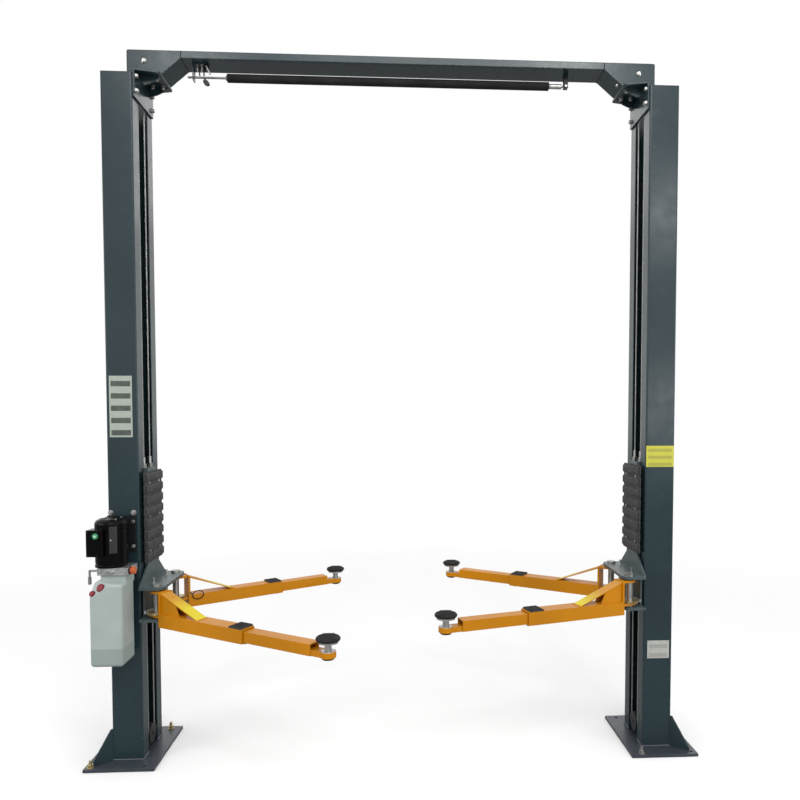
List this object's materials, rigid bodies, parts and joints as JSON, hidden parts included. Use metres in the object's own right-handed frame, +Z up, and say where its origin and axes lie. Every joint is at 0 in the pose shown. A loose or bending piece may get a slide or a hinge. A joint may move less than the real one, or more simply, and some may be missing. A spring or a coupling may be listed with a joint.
{
  "type": "two post car lift",
  "caption": "Two-post vehicle lift with C-section columns, an overhead beam, sliding carriages, telescoping swing arms with screw pads, and a hydraulic power unit.",
  "frame": {"origin": "middle of the bay on the floor, halfway between the columns", "axes": "+Z up, +X across the bay to the right column, +Y to the rear"},
  "size_m": [3.37, 1.674, 3.886],
  "materials": {
    "column_paint": "satin",
    "carriage_paint": "satin",
    "steel": "satin",
    "cable_steel": "satin",
    "dark_steel": "satin",
    "motor_black": "satin",
    "pump_alloy": "satin",
    "tank_plastic": "matte",
    "cap_red": "gloss",
    "plug_orange": "gloss",
    "foam": "matte",
    "rubber": "matte",
    "slider_plastic": "matte",
    "arm_paint": "satin"
  },
  "bodies": {
    "root": {"base_plate_left": "column_paint", "base_plate_right": "column_paint", "base_gussets": "column_paint", "column_left": "column_paint", "column_right": "column_paint", "beam_brackets": "column_paint", "overhead_beam": "column_paint", "beam_ends": "column_paint", "beam_sheaves": "steel", "beam_axles": "steel", "base_sheaves": "steel", "sheave_stands": "dark_steel", "sync_cable": "cable_steel", "lift_rods": "steel", "unit_bracket": "dark_steel", "motor": "motor_black", "junction_box": "motor_black", "pump_block": "pump_alloy", "oil_tank": "tank_plastic", "tank_caps": "cap_red", "port_plug": "plug_orange", "limit_switch": "column_paint", "bar_hanger": "steel"},
    "carriage_left": {"carriage_left": "carriage_paint", "arm_pins_left": "steel", "door_guard_left": "rubber", "slide_blocks_left": "slider_plastic", "lift_cylinder_left": "dark_steel"},
    "carriage_right": {"carriage_right": "carriage_paint", "arm_pins_right": "steel", "door_guard_right": "rubber", "slide_blocks_right": "slider_plastic", "lift_cylinder_right": "dark_steel"},
    "arm_front_left": {"outer_arm_front_left": "arm_paint", "rest_pad_front_left": "rubber"},
    "extension_front_left": {"inner_arm_front_left": "arm_paint"},
    "pad_front_left": {"pad_screw_front_left": "steel", "pad_rubber_front_left": "rubber"},
    "arm_rear_left": {"outer_arm_rear_left": "arm_paint", "rest_pad_rear_left": "rubber"},
    "extension_rear_left": {"inner_arm_rear_left": "arm_paint"},
    "pad_rear_left": {"pad_screw_rear_left": "steel", "pad_rubber_rear_left": "rubber"},
    "arm_front_right": {"outer_arm_front_right": "arm_paint", "rest_pad_front_right": "rubber"},
    "extension_front_right": {"inner_arm_front_right": "arm_paint"},
    "pad_front_right": {"pad_screw_front_right": "steel", "pad_rubber_front_right": "rubber"},
    "arm_rear_right": {"outer_arm_rear_right": "arm_paint", "rest_pad_rear_right": "rubber"},
    "extension_rear_right": {"inner_arm_rear_right": "arm_paint"},
    "pad_rear_right": {"pad_screw_rear_right": "steel", "pad_rubber_rear_right": "rubber"},
    "limit_bar": {"limit_bar_rod": "steel", "limit_bar_foam": "foam"},
    "release_lever": {"release_lever": "dark_steel"}
  },
  "joints": [
    {"name": "lift_left", "type": "slide", "parent": "root", "child": "carriage_left", "axis": [0, 0, 1], "range_m": [-0.65, 1]},
    {"name": "lift_right", "type": "slide", "parent": "root", "child": "carriage_right", "axis": [0, 0, 1], "range_m": [-0.65, 1]},
    {"name": "swing_front_left", "type": "hinge", "parent": "carriage_left", "child": "arm_front_left", "pos_m": [-1.311, -0.17, 0.876], "axis": [0, 0, -1], "range_deg": [-31.7, 53.3]},
    {"name": "extend_front_left", "type": "slide", "parent": "arm_front_left", "child": "extension_front_left", "axis": [0.8508, -0.5255, 0], "range_m": [-0.287, 0.133]},
    {"name": "screw_front_left", "type": "slide", "parent": "extension_front_left", "child": "pad_front_left", "axis": [0, 0, 1], "range_m": [-0.032, 0.03]},
    {"name": "swing_rear_left", "type": "hinge", "parent": "carriage_left", "child": "arm_rear_left", "pos_m": [-1.311, 0.17, 0.876], "axis": [0, 0, 1], "range_deg": [-32.72, 52.28]},
    {"name": "extend_rear_left", "type": "slide", "parent": "arm_rear_left", "child": "extension_rear_left", "axis": [0.8414, 0.5405, 0], "range_m": [-0.192, 0.228]},
    {"name": "screw_rear_left", "type": "slide", "parent": "extension_rear_left", "child": "pad_rear_left", "axis": [0, 0, 1], "range_m": [-0.032, 0.03]},
    {"name": "swing_front_right", "type": "hinge", "parent": "carriage_right", "child": "arm_front_right", "pos_m": [1.311, -0.17, 0.901], "axis": [0, 0, 1], "range_deg": [-17.29, 67.71]},
    {"name": "extend_front_right", "type": "slide", "parent": "arm_front_right", "child": "extension_front_right", "axis": [-0.9548, -0.2971, 0], "range_m": [-0.244, 0.176]},
    {"name": "screw_front_right", "type": "slide", "parent": "extension_front_right", "child": "pad_front_right", "axis": [0, 0, 1], "range_m": [-0.032, 0.03]},
    {"name": "swing_rear_right", "type": "hinge", "parent": "carriage_right", "child": "arm_rear_right", "pos_m": [1.311, 0.17, 0.901], "axis": [0, 0, -1], "range_deg": [-33.04, 51.96]},
    {"name": "extend_rear_right", "type": "slide", "parent": "arm_rear_right", "child": "extension_rear_right", "axis": [-0.8382, 0.5453, 0], "range_m": [-0.245, 0.175]},
    {"name": "screw_rear_right", "type": "slide", "parent": "extension_rear_right", "child": "pad_rear_right", "axis": [0, 0, 1], "range_m": [-0.032, 0.03]},
    {"name": "limit_bar_lift", "type": "hinge", "parent": "root", "child": "limit_bar", "pos_m": [0.964, 0, 3.783], "axis": [0, 1, 0], "range_deg": [0, 0.8]},
    {"name": "release_lever_swing", "type": "hinge", "parent": "root", "child": "release_lever", "pos_m": [-1.6125, -0.2965, 1.099], "axis": [-1, 0, 0], "range_deg": [0, 25]}
  ],
  "couplings": [
    {"joint": "lift_right", "follows": "lift_left", "ratio": 1}
  ]
}
